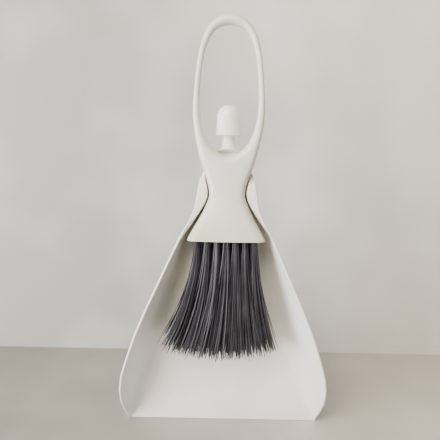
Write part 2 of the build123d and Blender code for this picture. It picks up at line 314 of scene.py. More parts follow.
# %% [markdown]
# Triangles join the grid to the rings, as in a net pulled over a frame. That completes the sheet, and
# the broom's own is worked out first.
# %% Sheet from rings and grid


def middle_faces(points, edges, inner, grid_size):
    """Triangles between the innermost rings and the grid, which holds the last grid_size points."""
    used = {i for edge in edges for i in edge} | set(range(len(points) - grid_size, len(points)))
    used = sorted(used)
    back = {index: i for i, index in enumerate(used)}
    flat = [Vector(points[i]) for i in used]
    joined = delaunay_2d_cdt(flat, [(back[a], back[b]) for a, b in edges], [], 0, 1e-7)
    triangles = [tuple(used[joined[3][i][0]] for i in face) for face in joined[2]]
    middles = np.array([points[list(face)].mean(0) for face in triangles])
    kept = inside(middles, inner[0])
    if len(inner) > 1:
        kept &= ~inside(middles, inner[1])
    return [face for face, wanted in zip(triangles, kept) if wanted]


def plate(outer, opening, roundness, spacing):
    """A flat sheet of points with its faces, each point's distance to the edge and local roundness."""
    loops = [(outer, inward_normals(outer, False, 1), False)]
    if opening is not None:
        loops.append((opening, inward_normals(opening, True, -1), True))
    points, reach, radii, faces, edges, rims, inner = [], [], [], [], [], [], []
    for line, normals, closed in loops:
        radius = np.full(len(line), roundness)
        if opening is not None:
            other = outer if closed else opening
            radius = np.minimum(radius, distances(line, other, not closed) / 2)
        start = sum(len(ring) for ring in points)
        rings, gaps, strip, rim, ends = ring_strip(line, normals, closed, radius, start)
        points += rings
        reach += gaps
        radii += [radius] * len(rings)
        faces += strip
        edges += ends
        rims.append(rim)
        inner.append(rings[-1])
    grid, grid_reach, grid_radii = loose_grid(outer, opening, inner, roundness, spacing)
    points, reach = np.concatenate(points + [grid]), np.concatenate(reach + [grid_reach])
    radii = np.concatenate(radii + [grid_radii])
    faces += middle_faces(points, edges, inner, len(grid))
    return points, reach, radii, faces, rims


sheet = plate(outer_line, opening_line, EDGE_ROLL, SHEET_SPACING)
print("points in the broom's sheet", len(sheet[0]), "faces", len(sheet[3]))

# %% [markdown]
# The broom is a shell: its chest and skirt are hollow at the back, and the bristle block closes the
# skirt. The same kind of sheet gives the outer faces and, one wall further in, the hollow that is cut
# away from them.
# %% Solid from a sheet


def rounding(reach, radii):
    """How far a rounded edge falls back at a distance from the outline."""
    share = 1 - np.clip(reach / radii, 0, 1)
    return radii * (1 - np.sqrt(1 - share**2))


def plate_object(name, sheet, front, back):
    """A closed mesh from a sheet, with the depths of its front and back at each point."""
    points, _, _, faces, rims = sheet
    count = len(points)
    corners = [place(x, d, z) for (x, z), d in zip(points, front)]
    corners += [place(x, d, z) for (x, z), d in zip(points, back)]
    solid = faces + [tuple(i + count for i in reversed(face)) for face in faces]
    for rim in rims:
        solid += [(a, a + count, b + count, b) for a, b in zip(rim, rim[1:] + rim[:1])]
    return solid_object(name, corners, solid)


def solid_object(name, corners, faces):
    """A new object from corner points and faces, with its faces all turned outwards."""
    mesh = bpy.data.meshes.new(name)
    mesh.from_pydata(corners, [], faces)
    made = bmesh.new()
    made.from_mesh(mesh)
    bmesh.ops.recalc_face_normals(made, faces=made.faces)
    made.to_mesh(mesh)
    made.free()
    return new_object(name, mesh)


def cut(thing, tool, operation):
    """Cuts or joins a closed mesh with another, and removes the tool."""
    step = thing.modifiers.new(operation, "BOOLEAN")
    step.operation, step.solver, step.object = operation, "EXACT", tool
    graph = bpy.context.evaluated_depsgraph_get()
    result = bpy.data.meshes.new_from_object(thing.evaluated_get(graph))
    thing.modifiers.clear()
    thing.data = result
    bpy.data.objects.remove(tool)


def finish_mesh(thing, angle=34):
    """Merges slivers, then shades smooth with crisp edges where faces meet sharply."""
    made = bmesh.new()
    made.from_mesh(thing.data)
    bmesh.ops.remove_doubles(made, verts=made.verts, dist=0.00002)
    bmesh.ops.dissolve_degenerate(made, edges=made.edges, dist=0.00001)
    loose = [f for f in made.faces if f.calc_area() < 1e-13]
    bmesh.ops.delete(made, geom=loose, context="FACES_ONLY")
    for face in made.faces:
        face.smooth = True
    for edge in made.edges:
        edge.smooth = len(edge.link_faces) != 2 or edge.calc_face_angle(0) < math.radians(angle)
    open_edges = sum(len(e.link_faces) != 2 for e in made.edges)
    made.to_mesh(thing.data)
    made.free()
    print(thing.name, "faces", len(thing.data.polygons), "open edges", open_edges)


fall = rounding(np.array([0.0, EDGE_ROLL]), EDGE_ROLL)
print("a rounded edge falls back by", fall, "at the outline and further in")

# %% [markdown]
# Simple turned shapes, such as the peg, the head and the plain cutting tools, are lathe work: a
# half outline turned about an axis. Boxes for cutting are made in the same plain way.
# %% Turned shapes and boxes


def lathe(name, profile, centre, axis, squeeze=1.0, steps=72):
    """A closed turned solid from (radius, along) pairs; axis is Z for upright or Y for front to back."""
    corners, faces = [], []
    for radius, along in profile:
        for i in range(steps):
            turn = 2 * math.pi * i / steps
            a, b = radius * math.cos(turn), radius * math.sin(turn)
            if axis == "Z":
                corners.append(place(centre[0] + a, centre[1] + b * squeeze, along))
            else:
                corners.append(place(centre[0] + a, along, centre[1] + b))
    for ring in range(len(profile) - 1):
        for i in range(steps):
            j = (i + 1) % steps
            faces.append(tuple(k + ring * steps for k in (i, j, j + steps, i + steps)))
    faces.append(tuple(range(steps)))
    faces.append(tuple(range(len(corners) - steps, len(corners))))
    return solid_object(name, corners, faces)


def box_object(name, low, high):
    """A plain box for cutting, from two corners given as (across, depth, level)."""
    corners = [place(x, d, z) for x in (low[0], high[0]) for d in (low[1], high[1])
               for z in (low[2], high[2])]
    faces = [(0, 1, 3, 2), (4, 6, 7, 5), (0, 4, 5, 1), (2, 3, 7, 6), (0, 2, 6, 4), (1, 5, 7, 3)]
    return solid_object(name, corners, faces)


LATHE_STEPS, FINE_LATHE_STEPS = 48, 96
print("steps round a small turned shape", LATHE_STEPS)

# %% [markdown]
# The broom's front face leans back from the hem to the loop, its sides roll over softly, and inside
# the chest stands a ring that takes the dustpan's peg. All of it is one moulding, so it becomes one
# mesh.
# %% Broom moulding
CROWN, BACK_ROLL = 1.3, 0.7
CROWN_ENDS, ARM_STARTS = (222, 246), (231, 247)


def front_of(sheet, wall, crown_share):
    """Depths of a sheet's front: the leaning face, less a wall, its crown and its rolled edges."""
    points, reach, radii = sheet[:3]
    half = np.interp(points[:, 1], widths[:, 0], widths[:, 1])
    front = np.interp(points[:, 1], front_line[:, 0], front_line[:, 1]) - wall
    front -= CROWN * np.clip(points[:, 0] / half, -1, 1)**2 * crown_share
    return front - rounding(reach, radii)


levels = sheet[0][:, 1]
widths = np.array([(z, x) for x, z in [(FOOT_HALF, FOOT)] + torso_edge()])
front = front_of(sheet, 0, 1 - eased(levels, *CROWN_ENDS))
back_roll = BACK_ROLL + (sheet[2] - BACK_ROLL) * eased(levels, *ARM_STARTS)
back = BACK_DEPTH + rounding(sheet[1], back_roll)
broom = plate_object("broom_moulding", sheet, front, back)
print("depth of the front, least and most", front.min().round(1), front.max().round(1))

# %% [markdown]
# The chest and skirt are hollow. The hollow's outline is the torso's, moved in by the wall, and closed
# by a round top inside the chest.
# %% Hollow behind the chest
WALL = 1.7
HOLLOW_TOP = [(SHOULDER_HALF - 3.2, 228), (9, 231), (0, 231.8)]
HOLLOW_STEP, HOLLOW_SPACING = 1.5, 2.5

hollow_right = [(x - WALL, z) for x, z in edge_points[:len(SKIRT) + 2]] + HOLLOW_TOP
hollow = plate(smooth_line(mirrored(hollow_right), HOLLOW_STEP), None, EDGE_ROLL - WALL, HOLLOW_SPACING)
inner_front = front_of(hollow, WALL, 1)
cutter = plate_object("hollow", hollow, inner_front, np.full(len(inner_front), BACK_DEPTH - WALL))
cut(broom, cutter, "DIFFERENCE")
print("hollow depth", round(inner_front.max() - BACK_DEPTH, 1))

# %% [markdown]
# The peg's socket is a turned ring that reaches from the back of the chest to its front wall, with a
# short lead-in at its mouth. The skirt was made longer than it is, and is now cut level at the hem.
# %% Peg socket and hem
SOCKET_OUTER, SOCKET_INNER, SOCKET_END, SOCKET_ROOT = 6.5, 4.3, 18.3, 21.6
LEAD_IN, LEAD_DEPTH = 0.6, 0.8

ring = [(SOCKET_OUTER, BACK_DEPTH), (SOCKET_OUTER, SOCKET_ROOT)]
cut(broom, lathe("socket", ring, (0, PEG_LEVEL), "Y", steps=LATHE_STEPS), "UNION")
bore = [(SOCKET_INNER + LEAD_IN, BACK_DEPTH - 1), (SOCKET_INNER + LEAD_IN, BACK_DEPTH),
        (SOCKET_INNER, BACK_DEPTH + LEAD_DEPTH), (SOCKET_INNER, SOCKET_END)]
cut(broom, lathe("bore", bore, (0, PEG_LEVEL), "Y", steps=LATHE_STEPS), "DIFFERENCE")
cut(broom, box_object("below_hem", (-60, -5, 100), (60, 60, HEM)), "DIFFERENCE")
finish_mesh(broom)

# %% [markdown]
# The dustpan is a thin moulded tray. Its outline was measured at some twenty levels, so it is built as
# a stack of sections from the lip to the shoulders. The tables are read with straight runs first and then
# softened, which rounds every corner of the outline without ever swinging past the measured points.
# %% Dustpan tables
PAN_HALF, PAN_DEPTH, PAN_WALL, LIP_WALL = 87.2, 35.5, 2.2, 1.2
LIP_HALF, RIM_FLARE, REST_DEPTH = 85.25, 0.8, 9.2
PAN_SHARES = (
    (0.0455, 0.947, 0.986, 0.18), (0.091, 0.920, 0.9965, 0.35), (0.182, 0.860, 1, 0.66),
    (0.273, 0.794, 0.991, 0.86), (0.358, 0.717, 0.962, 0.94), (0.443, 0.642, 0.909, 0.98),
    (0.568, 0.550, 0.822, 1), (0.682, 0.491, 0.726, 0.96), (0.795, 0.4415, 0.622, 0.89),
    (0.898, 0.401, 0.5275, 0.84),
)
TROUGH = (
    (0.88, 1, 0, 0), (0.895, 0.97, 0.15, 0.2), (0.863, 0.92, 0.55, 0.45), (0.895, 0.875, 0.9, 0.75),
    (1.08, 0.83, 1, 1), (1.14, 0.795, 1, 1), (0.98, 0.745, 1, 1), (0.64, 0.66, 1, 1), (-0.06, 0, 1, 1),
)
TROUGH_GAP, TROUGH_RIM, TROUGH_DEPTH, TROUGH_FLOOR = 1.2, 8.4, 27.7, 8.7
SHOULDERS, SHOULDERS_HALF, PLATE_START = 243.0, 14.5, 226.0

pan_table = [(0, LIP_HALF, LIP_HALF + RIM_FLARE, LIP_WALL, PAN_WALL, LIP_HALF, 0)]
for up, floor, rim, deep in PAN_SHARES:
    floor, rim = PAN_HALF * floor, PAN_HALF * rim
    pan_table.append((HEM * up, floor, rim, PAN_DEPTH * deep, PAN_WALL, floor, 0))
for (half, level), (gap, deep, rise, tight) in zip(torso_edge(), TROUGH):
    rim, throat = half + TROUGH_RIM * gap, half + TROUGH_GAP
    floor = min(throat + PAN_WALL, rim - RIM_FLARE)
    floor_depth = PAN_WALL + (TROUGH_FLOOR - PAN_WALL) * rise
    pan_table.append((level, floor, rim, max(TROUGH_DEPTH * deep, REST_DEPTH), floor_depth, throat, tight))
flange_end = (224.2, 19.3, 20.7, REST_DEPTH, TROUGH_FLOOR, 18.3, 1)
pan_table.insert(-1, flange_end)
pan_table.append((SHOULDERS, SHOULDERS_HALF - RIM_FLARE, SHOULDERS_HALF, REST_DEPTH, TROUGH_FLOOR,
                  SHOULDERS_HALF, 1))
pan_table = np.array(pan_table)
print("measured sections", len(pan_table))

# %% [markdown]
# The softening is a running average with a bell-shaped weight. Past both ends the table is mirrored,
# so that the lip and the shoulders stay where they were measured. Just below the broom's arms the
# flanges have to end, so the rim's depth is led down to the plate there.
# %% Softened sections
SOFT_STEP, SOFT_SPREAD, SECTION_STEP = 0.5, 2.0, 1.6
FLANGE_FADE, FLANGE_RISE = (221.5, 225.4), 10


def softened(table, levels, spread):
    """The table's columns at the levels, softened over about spread millimetres each way."""
    fine = np.arange(-3 * spread, table[-1, 0] + 3 * spread, SOFT_STEP)
    columns = []
    for column in table.T[1:]:
        values = np.interp(fine, table[:, 0], column)
        start, end = fine < 0, fine > table[-1, 0]
        values[start] = 2 * column[0] - np.interp(-fine[start], table[:, 0], column)
        values[end] = 2 * column[-1] - np.interp(2 * table[-1, 0] - fine[end], table[:, 0], column)
        weights = np.exp(-0.5 * (np.arange(-3 * spread, 3 * spread + 0.1, SOFT_STEP) / spread)**2)
        values = np.convolve(values, weights / weights.sum(), "same")
        columns.append(np.interp(levels, fine, values))
    return np.array(columns).T


lip_levels = [0, 0.15, 0.4, 0.8, 1.4]
pan_levels = np.concatenate([lip_levels, np.arange(2.4, SHOULDERS, SECTION_STEP), [SHOULDERS]])
pan_rows = softened(pan_table, pan_levels, SOFT_SPREAD)
highest = REST_DEPTH + FLANGE_RISE * (1 - eased(pan_levels, *FLANGE_FADE))
highest[pan_levels < FLANGE_FADE[0]] = np.inf
pan_rows[:, 2] = np.minimum(pan_rows[:, 2], highest)
print("sections", len(pan_levels), "widest", round(pan_rows[:, 1].max() * 2, 1))

# %% [markdown]
# Each section is one closed path: up the outside of a wall, over a rounded rim, and down the inside to
# the floor. The corner between wall and floor is a wide arc, because that is the soft grey gradient that
# the photograph shows there. Three helpers draw the arcs, straight runs and small bends of the path.
# %% Arcs, runs and bends


def corner_arc(start, corner, end, radius, count):
    """Points of the arc that rounds a corner between two straight runs, as large as they allow."""
    to_start, to_end = start - corner, end - corner
    far_start, far_end = np.linalg.norm(to_start), np.linalg.norm(to_end)
    to_start, to_end = to_start / far_start, to_end / far_end
    half_angle = math.acos(np.clip(to_start @ to_end, -1, 1)) / 2
    tangent = min(radius / math.tan(half_angle), 0.9 * far_start, 0.9 * far_end)
    radius = tangent * math.tan(half_angle)
    bisector = (to_start + to_end) / np.linalg.norm(to_start + to_end)
    centre = corner + bisector * radius / math.sin(half_angle)
    first, last = corner + to_start * tangent - centre, corner + to_end * tangent - centre
    span = math.pi - 2 * half_angle
    side = np.sign(first[0] * last[1] - first[1] * last[0])
    turns = np.linspace(0, span, count) * side
    return np.array([centre + (first[0] * math.cos(t) - first[1] * math.sin(t),
                               first[0] * math.sin(t) + first[1] * math.cos(t)) for t in turns])


def run(start, end, count):
    return np.linspace(start, end, count, endpoint=False)


def bend(start, corner, end, reach):
    """Five points of a small soft bend at a corner between two straight runs."""
    first, last = [corner + way * min(reach / max(float(np.linalg.norm(way)), SHORTEST_WAY), 0.45)
                   for way in (start - corner, end - corner)]
    return np.array([(1 - t)**2 * first + 2 * t * (1 - t) * corner + t * t * last
                     for t in np.linspace(0, 1, 5)])


def mixed(first, second, share):
    return first + (second - first) * share


SHORTEST_WAY = 1e-9
square = (np.array([0.0, 9.0]), np.array([0.0, 0.0]), np.array([9.0, 0.0]))
print("points on a corner's arc", len(corner_arc(*square, 3.0, 12)))

# %% [markdown]
# Beside the broom's waist the wall turns tight and upright and carries a flat flange at its rim, so
# that the broom sits almost flush in it. The last column of the table says how far that change has
# gone at a level, and every corner of the section moves by that share.
# %% Corners of a section
KNEE_SHARE, LEDGE_SHARE, DRAFT, SEAM, FLAT = 0.6, 0.12, 0.02, 0.75, np.array([1.0, 0.0])
LIP_RUN, FLANGE_HEIGHTS, PLAIN_HEIGHTS = (0, 14), (0.5, 4), (0, 3)
PLATE_RUN = (PLATE_START - 2, PLATE_START + 3)


def floor_at(level, depth, floor_depth):
    """The wall's thickness and the depth of the inner floor, which is rounded off at the lip."""
    wall = LIP_WALL + (PAN_WALL - LIP_WALL) * eased(level, *LIP_RUN)
    wall_floor = wall * math.sqrt(1 - (1 - min(1, (level + 0.12) / 0.9))**2) + floor_depth - PAN_WALL
    wall_floor += (min(depth, REST_DEPTH) - wall_floor) * eased(level, *PLATE_RUN)
    return wall, min(wall_floor, depth)


def section_corners(wall, wall_floor, floor, rim, depth, throat, flange):
    """Corners of the outer and inner path, the wall's direction and the rim's rounding."""
    corner, top = np.array([floor, 0.0]), np.array([rim, depth])
    length = np.linalg.norm(top - corner)
    up = (top - corner) / length
    inward = np.array([-up[1], up[0]])
    low = (wall_floor - inward[1] * wall) / up[1]
    rounded = min(wall / 2, length * 0.4)
    knee_depth = mixed(depth * KNEE_SHARE, depth - wall, flange)
    knee_across = floor + (rim - floor) * knee_depth / depth
    knee_across = mixed(knee_across, min(knee_across, throat + wall + DRAFT * knee_depth), flange)
    outer_end = mixed(corner + up * (length - rounded), np.array([rim - rounded, depth - wall]), flange)
    inner_end = corner + inward * wall + up * max(length - rounded, low + 0.05)
    inner_corner = corner + inward * wall + up * low
    ledge = mixed(inner_end, inner_corner, LEDGE_SHARE)
    throat -= (TROUGH_GAP - SEAM) * flange
    flat_edge = min(throat + DRAFT * (depth - wall_floor), rim - 1.6 * rounded)
    inner_end = mixed(inner_end, np.array([rim - rounded, depth]), flange)
    ledge = mixed(ledge, np.array([flat_edge, depth]), flange)
    inner_corner = mixed(inner_corner, np.array([min(throat, flat_edge), wall_floor]), flange)
    outer = (outer_end, np.array([knee_across, knee_depth]), corner)
    return outer, (inner_end, ledge, inner_corner), up, rounded


print("wall at the lip", floor_at(0, LIP_WALL, PAN_WALL)[0], "and further up", PAN_WALL)

# %% [markdown]
# The path itself goes from the middle of the back out to the wall's corner, up the wall over its
# knee, round the rim in one smooth curve, and back down the inside to the middle of the floor.
# %% Path of a section
CORNER_OUTER, CORNER_INNER, KNEE_REACH, LEDGE_REACH, RIM_HANDLE = 8.0, 10.5, 2.0, 1.1, 1.3


def wall_side(corners, middle, reach, radius):
    """Points down one side of a wall: a run, a small bend, a run, the corner's arc and the floor."""
    end, turn, corner = corners
    soft = bend(end, turn, corner, reach)
    arc = corner_arc(soft[-1], corner, middle, radius, 12)
    return np.vstack([run(end, soft[0], 4), soft[:-1], run(soft[-1], arc[0], 7), arc[:-1],
                      run(arc[-1], middle, 16), [middle]])


def pan_section(level, floor, rim, depth, floor_depth, throat, tight):
    """One side of a section as (across, depth) points, from the middle out, over the rim and back in."""
    wall, wall_floor = floor_at(level, depth, floor_depth)
    flange = tight * eased(depth - wall_floor, *FLANGE_HEIGHTS)
    outer, inner, up, rounded = section_corners(wall, wall_floor, floor, rim, depth, throat, flange)
    inner_radius = mixed(CORNER_INNER, TROUGH_GAP, flange)
    outside = wall_side(outer, np.array([0.0, 0.0]), KNEE_REACH, CORNER_OUTER)
    within = wall_side(inner, np.array([0, wall_floor]), LEDGE_REACH, inner_radius)
    plain = 1 - eased(depth - wall_floor, *PLAIN_HEIGHTS)
    rise, lean = mixed(up, FLAT, flange), mixed(mixed(up, FLAT, plain), FLAT, flange)
    handle = rounded * RIM_HANDLE
    ends = (outer[0], outer[0] + rise * handle, inner[0] + lean * handle * (1 - plain * 0.3), inner[0])
    cap = []
    for t in np.linspace(0, 1, 9)[1:-1]:
        weights = ((1 - t)**3, 3 * t * (1 - t)**2, 3 * t * t * (1 - t), t**3)
        cap.append(sum(w * e for w, e in zip(weights, ends)))
    return np.vstack([outside[::-1], cap, within])


waist_row = pan_rows[np.searchsorted(pan_levels, WAIST)]
print("points in a section", len(pan_section(WAIST, *waist_row)))

# %% [markdown]
# The sections are joined up like the ribs of a boat. Each half section is mirrored to the left, and the
# two open ends are closed with strips across the wall.
# %% Dustpan tray


def tray_object(name, halves):
    """A closed mesh from half sections, each mirrored to the left, with the two ends closed."""
    count = len(halves[0][1])
    around = 2 * count - 2
    corners, faces = [], []
    for level, half in halves:
        corners += [place(x, d, level) for x, d in half]
        corners += [place(-x, d, level) for x, d in half[-2:0:-1]]
    for number in range(len(halves) - 1):
        for i in range(around):
            j = (i + 1) % around
            faces.append(tuple(k + number * around for k in (i, j, j + around, i + around)))
    strip = (count - 9) // 2
    for start in (0, (len(halves) - 1) * around):
        for side in (1, -1):
            for i in range(strip):
                quad = (i, i + 1, count - 2 - i, count - 1 - i)
                faces.append(tuple(start + side * k % around for k in quad))
            faces.append(tuple(start + side * k % around for k in range(strip, count - strip)))
    return solid_object(name, corners, faces)


dustpan = tray_object("dustpan_moulding", [(level, pan_section(level, *row))
                                           for level, row in zip(pan_levels, pan_rows)])
print("ribs of the tray", len(pan_levels), "corners", len(dustpan.data.vertices))

# %% [markdown]
# Above the shoulders the tray runs out into a slim neck and a plain rounded head with a bobbed hem.
# These are turned shapes, pressed a little flat from front to back and kept clear of the broom's
# neckline. A peg on the plate between the shoulders holds the broom.
# %% Head and neck
HEAD_DEPTH, HEAD_SQUEEZE, HEAD_LEVEL, NECK_BACK = 8.6, 0.78, 278.0, 0.4
NECK_LIMIT = ((238, 8.9), (241.6, 8.9), (243.5, 11.5), (246, 14.5), (252, 20), (300, 20))
neck_path = ((13.2, 240.3), (10.6, 242.0), (7.6, 244.0), (5.8, 246.4), (5.1, 249.4), (4.9, 252.5),
             (5.0, 256.4))
neck_profile = smooth_line(neck_path, 0.7)
hair = [(10.1, 255.7), (9.8, 257.7), (9.45, 261), (9.2, 266), (9.05, 270.2)]
crown = [(9.05, 270.2), (8.6, 271.5), (7.9, 273.4), (6.2, 275.8), (3.6, 277.4), (0.4, HEAD_LEVEL)]
head_profile = [(0.4, 254.6), (7.4, 254.6), (8.6, 254.9), (9.6, 255.2), (10.1, 255.7)]
head_profile += smooth_line(hair, 1.0)[1:].tolist() + smooth_line(crown, 0.6)[1:].tolist()
neck = lathe("neck", neck_profile.tolist(), (0, HEAD_DEPTH), "Z", HEAD_SQUEEZE)
for corner in neck.data.vertices:
    level = corner.co.z / MM - LIP_Z
    limit = np.interp(level, *zip(*NECK_LIMIT))
    corner.co.y = min(max(corner.co.y, -limit * MM), -NECK_BACK * MM)
cut(dustpan, neck, "UNION")
head = lathe("head", head_profile, (0, HEAD_DEPTH), "Z", HEAD_SQUEEZE, FINE_LATHE_STEPS)
cut(dustpan, head, "UNION")
print("head width", round(2 * max(radius for radius, _ in head_profile), 1))

# %% [markdown]
# A thick lump of plastic would sink as it cools, so moulders take it out from behind. Here a box with
# rounded edges does it, behind the plate between the shoulders. The peg has a small fillet at its root
# and a round nose that finds the socket.
# %% Coring and peg
CORE_HALF, CORE_LEVELS, CORE_CORNER = 12.3, (208.3, 240.8), 1.2
PEG_RADIUS, PEG_END, PEG_NOSE = 4.0, 17.7, 1.0

core_front = REST_DEPTH - PAN_WALL
core = box_object("core", (-CORE_HALF, -3, CORE_LEVELS[0]), (CORE_HALF, core_front, CORE_LEVELS[1]))
step = core.modifiers.new("corners", "BEVEL")
step.width, step.segments, step.limit_method = CORE_CORNER * MM, 4, "ANGLE"
cut(dustpan, core, "DIFFERENCE")
peg = [(PEG_RADIUS + 0.7, REST_DEPTH - 1), (PEG_RADIUS + 0.5, REST_DEPTH + 0.05)]
peg.append((PEG_RADIUS, REST_DEPTH + 0.6))
for turn in np.linspace(0, math.pi / 2, 7):
    peg.append((PEG_RADIUS - PEG_NOSE + math.cos(turn), PEG_END - PEG_NOSE + math.sin(turn)))
cut(dustpan, lathe("peg", peg, (0, PEG_LEVEL), "Y", steps=LATHE_STEPS), "UNION")
finish_mesh(dustpan)

# %% [markdown]
# Each tuft is a bundle of drawn filament folded over a wire and driven into its hole. Filaments leave
# the hole together, spread in a fan, bend a little each its own way, and end unevenly. Hair particles
# would do this quickly, but they give no mesh to keep, so each filament is a thin tube in its tuft's
# mesh.
# %% Tuft places
TUFT_ROWS, ROW_TUFTS, TUFT_PITCH = 3, 7, 7.1
ROOT_LEVEL, MID_LEVEL, TIP_LEVEL = 176.8, 125.0, 80.0
STAGES = {
    "left": (23.2, 33.5, 55.2), "right": (23.2, 31.3, 44.7),
    "wide": (1.86, 5.2, 8.4), "deep": (1.86, 3.3, 3.8),
    "front": (27.3, 29.9, 32.2), "pitch": (6.7, 8.0, 9.3),
}
OUTER_REACH = (ROW_TUFTS - 1) / 2 * TUFT_PITCH
ROOT_FLARE, FLARE_LENGTH = 0.9, 3
tuft_places = []
for row in range(TUFT_ROWS):
    count = ROW_TUFTS - row % 2
    tuft_places += [((k - (count - 1) / 2) * TUFT_PITCH, row) for k in range(count)]


def stage(name, level):
    """A size of the fan at a level, with an even bend through its three stages."""
    root, mid, tip = STAGES[name]
    s = (ROOT_LEVEL - level) / (ROOT_LEVEL - TIP_LEVEL)
    m = (ROOT_LEVEL - MID_LEVEL) / (ROOT_LEVEL - TIP_LEVEL)
    bend = ((mid - root) / m - (tip - root)) / (m - 1)
    return root + (tip - root - bend) * s + bend * s * s


def strand_spot(tuft_x, row, spot, level):
    """Across and depth of a filament at a level; spot is its place in the bundle."""
    left, right = stage("left", level), stage("right", level)
    fan = ((left + right) / 2 - stage("wide", level)) / OUTER_REACH
    x = (right - left) / 2 + tuft_x * fan + spot[0] * stage("wide", level)
    x += ROOT_FLARE * tuft_x / OUTER_REACH * (1 - math.exp((level - ROOT_LEVEL) / FLARE_LENGTH))
    return x, stage("front", level) - row * stage("pitch", level) - spot[1] * stage("deep", level)


print("tufts", len(tuft_places))

# %% [markdown]
# The filaments are drawn with a seeded random source, so the same brush comes out each time. A few
# strays at the outer edges stick out, as they do on any brush that has been used.
# %% Filaments
STRANDS, STRAND_SIDES = 60, 5
STRAND_RADIUS = 0.33
TIP_RISE, TIP_SHIFT, RAGGED, SHORTEST = 11.0, 4.0, 1.32, -2.2
STRAY_SHARE, STRAY_RISE, HELD_LENGTH = 0.06, 4, 3
SWAY, LEAN, WAVES, FULL_TURN = 0.9, 0.7, (0.1, 0.45), 6.28
dice = random.Random(11)


def filament(tuft_x, row, spot, tip_spot):
    """Centre points of one filament from inside its hole to its tip."""
    tip_x = strand_spot(tuft_x, row, tip_spot, TIP_LEVEL)[0]
    rise = TIP_RISE * ((tip_x + TIP_SHIFT) / STAGES["left"][2])**2
    end = TIP_LEVEL + rise + max(SHORTEST, dice.gauss(0, RAGGED))
    end += (dice.random() < STRAY_SHARE) * STRAY_RISE
    sway, lean = dice.uniform(-SWAY, SWAY), dice.uniform(-LEAN, LEAN)
    phase, wave = dice.uniform(0, FULL_TURN), dice.uniform(*WAVES)
    top = ROOT_LEVEL + HELD_LENGTH
    line = []
    for s in np.linspace(0, 1, 10):
        level = mixed(top, end, s)
        here = [mixed(a, b, s) for a, b in zip(spot, tip_spot)]
        x, depth = strand_spot(tuft_x, row, here, min(level, ROOT_LEVEL))
        x += sway * s * s * 1.6 + wave * s * math.sin(phase + 5 * s)
        depth += lean * s * s * 1.4 + wave * s * math.cos(phase + 4 * s)
        line.append(place(x, depth, level))
    return line


sample = filament(0, 0, (0, 0), (0, 0))
dice = random.Random(11)
print("length of a middle filament", round((sample[0] - sample[-1]).length / MM, 1))

# %% [markdown]
# A filament is far too thin to need a round section. Five flat sides catch the light one after the
# other, which gives a brush its streaks. Each tube narrows at its cut end. The filaments fill their
# bundle the way seeds fill a sunflower, each a golden turn on from the last.
# %% Tufts
END_TAPER, GOLDEN_TURN = 0.6, 2.39996
TIP_SPREAD, THICKNESSES = (0.22, 0.2), (0.85, 1.12)


def tube(line, radius, twist, start):
    """Corners and faces of a thin tube along a line, closed at both ends."""
    corners, faces = [], []
    for i, centre in enumerate(line):
        size = radius * (1 if i < len(line) - 1 else END_TAPER)
        for k in range(STRAND_SIDES):
            t = twist + 2 * math.pi * k / STRAND_SIDES
            corners.append(centre + Vector((math.cos(t), math.sin(t), 0)) * size)
    for i in range(len(line) - 1):
        for k in range(STRAND_SIDES):
            j = (k + 1) % STRAND_SIDES
            faces.append(tuple(start + i * STRAND_SIDES + v
                               for v in (k, k + STRAND_SIDES, j + STRAND_SIDES, j)))
    faces.append(tuple(start + k for k in range(STRAND_SIDES)))
    last = start + (len(line) - 1) * STRAND_SIDES
    faces.append(tuple(last + k for k in reversed(range(STRAND_SIDES))))
    return corners, faces


def tuft_object(name, tuft_x, row):
    """All filaments of one tuft as one mesh, each with its own tone."""
    corners, faces, tones = [], [], []
    for number in range(STRANDS):
        far, turn = math.sqrt((number + 0.5) / STRANDS), number * GOLDEN_TURN
        spot = (far * math.cos(turn), far * math.sin(turn))
        tip_spot = tuple(a + dice.gauss(0, spread) for a, spread in zip(spot, TIP_SPREAD))
        line = filament(tuft_x, row, spot, tip_spot)
        tone = dice.random()
        radius = STRAND_RADIUS * MM * dice.uniform(*THICKNESSES)
        added, walls = tube(line, radius, dice.uniform(0, math.pi), len(corners))
        corners += added
        faces += walls
        tones += [tone] * len(added)
    tuft = solid_object(name, corners, faces)
    attribute = tuft.data.attributes.new("tone", "FLOAT", "POINT")
    attribute.data.foreach_set("value", tones)
    return tuft


tufts = [tuft_object(f"tuft_{n:02d}_filaments", x, row) for n, (x, row) in enumerate(tuft_places, 1)]
print("filaments", STRANDS * len(tufts), "faces", sum(len(t.data.polygons) for t in tufts))

# %% [markdown]
# Light plastic is never one flat colour. It has a fine moulded skin, a slow cloudiness from the flow of
# the melt, a little dust and scuffing, and thin edges that let light through, which is painted in as a
# yellower colour. Skin, dust and scuffing are each a small node group with its own inputs, so every
# plastic part can use it at its own strength.
# %% Node helpers


def feed(tree, made, inputs):
    """Fills a node's inputs, each with a value or from a socket to link from."""
    for key, value in inputs.items():
        if isinstance(value, bpy.types.NodeSocket):
            tree.links.new(value, made.inputs[key])
        else:
            made.inputs[key].default_value = value
    return made


def node(tree, kind, inputs=None, **settings):
    made = tree.nodes.new("ShaderNode" + kind)
    for key, value in settings.items():
        setattr(made, key, value)
    return feed(tree, made, inputs or {})


def math_node(tree, operation, *values):
    return node(tree, "Math", dict(enumerate(values)), operation=operation).outputs[0]


def mix_colour(tree, share, first, second, blend="MIX"):
    made = node(tree, "Mix", {0: share, 6: first, 7: second}, data_type="RGBA", blend_type=blend)
    return made.outputs[2]


def remap(tree, value, low, high, to_low=0.0, to_high=1.0):
    made = node(tree, "MapRange", {0: value, 1: low, 2: high, 3: to_low, 4: to_high})
    return made.outputs[0]


def noise(tree, scale, detail):
    """Noise in the object's own space, with its scale in cells per metre."""
    spots = node(tree, "TexCoord").outputs["Object"]
    return node(tree, "TexNoise", {"Vector": spots, "Scale": scale, "Detail": detail}).outputs[0]


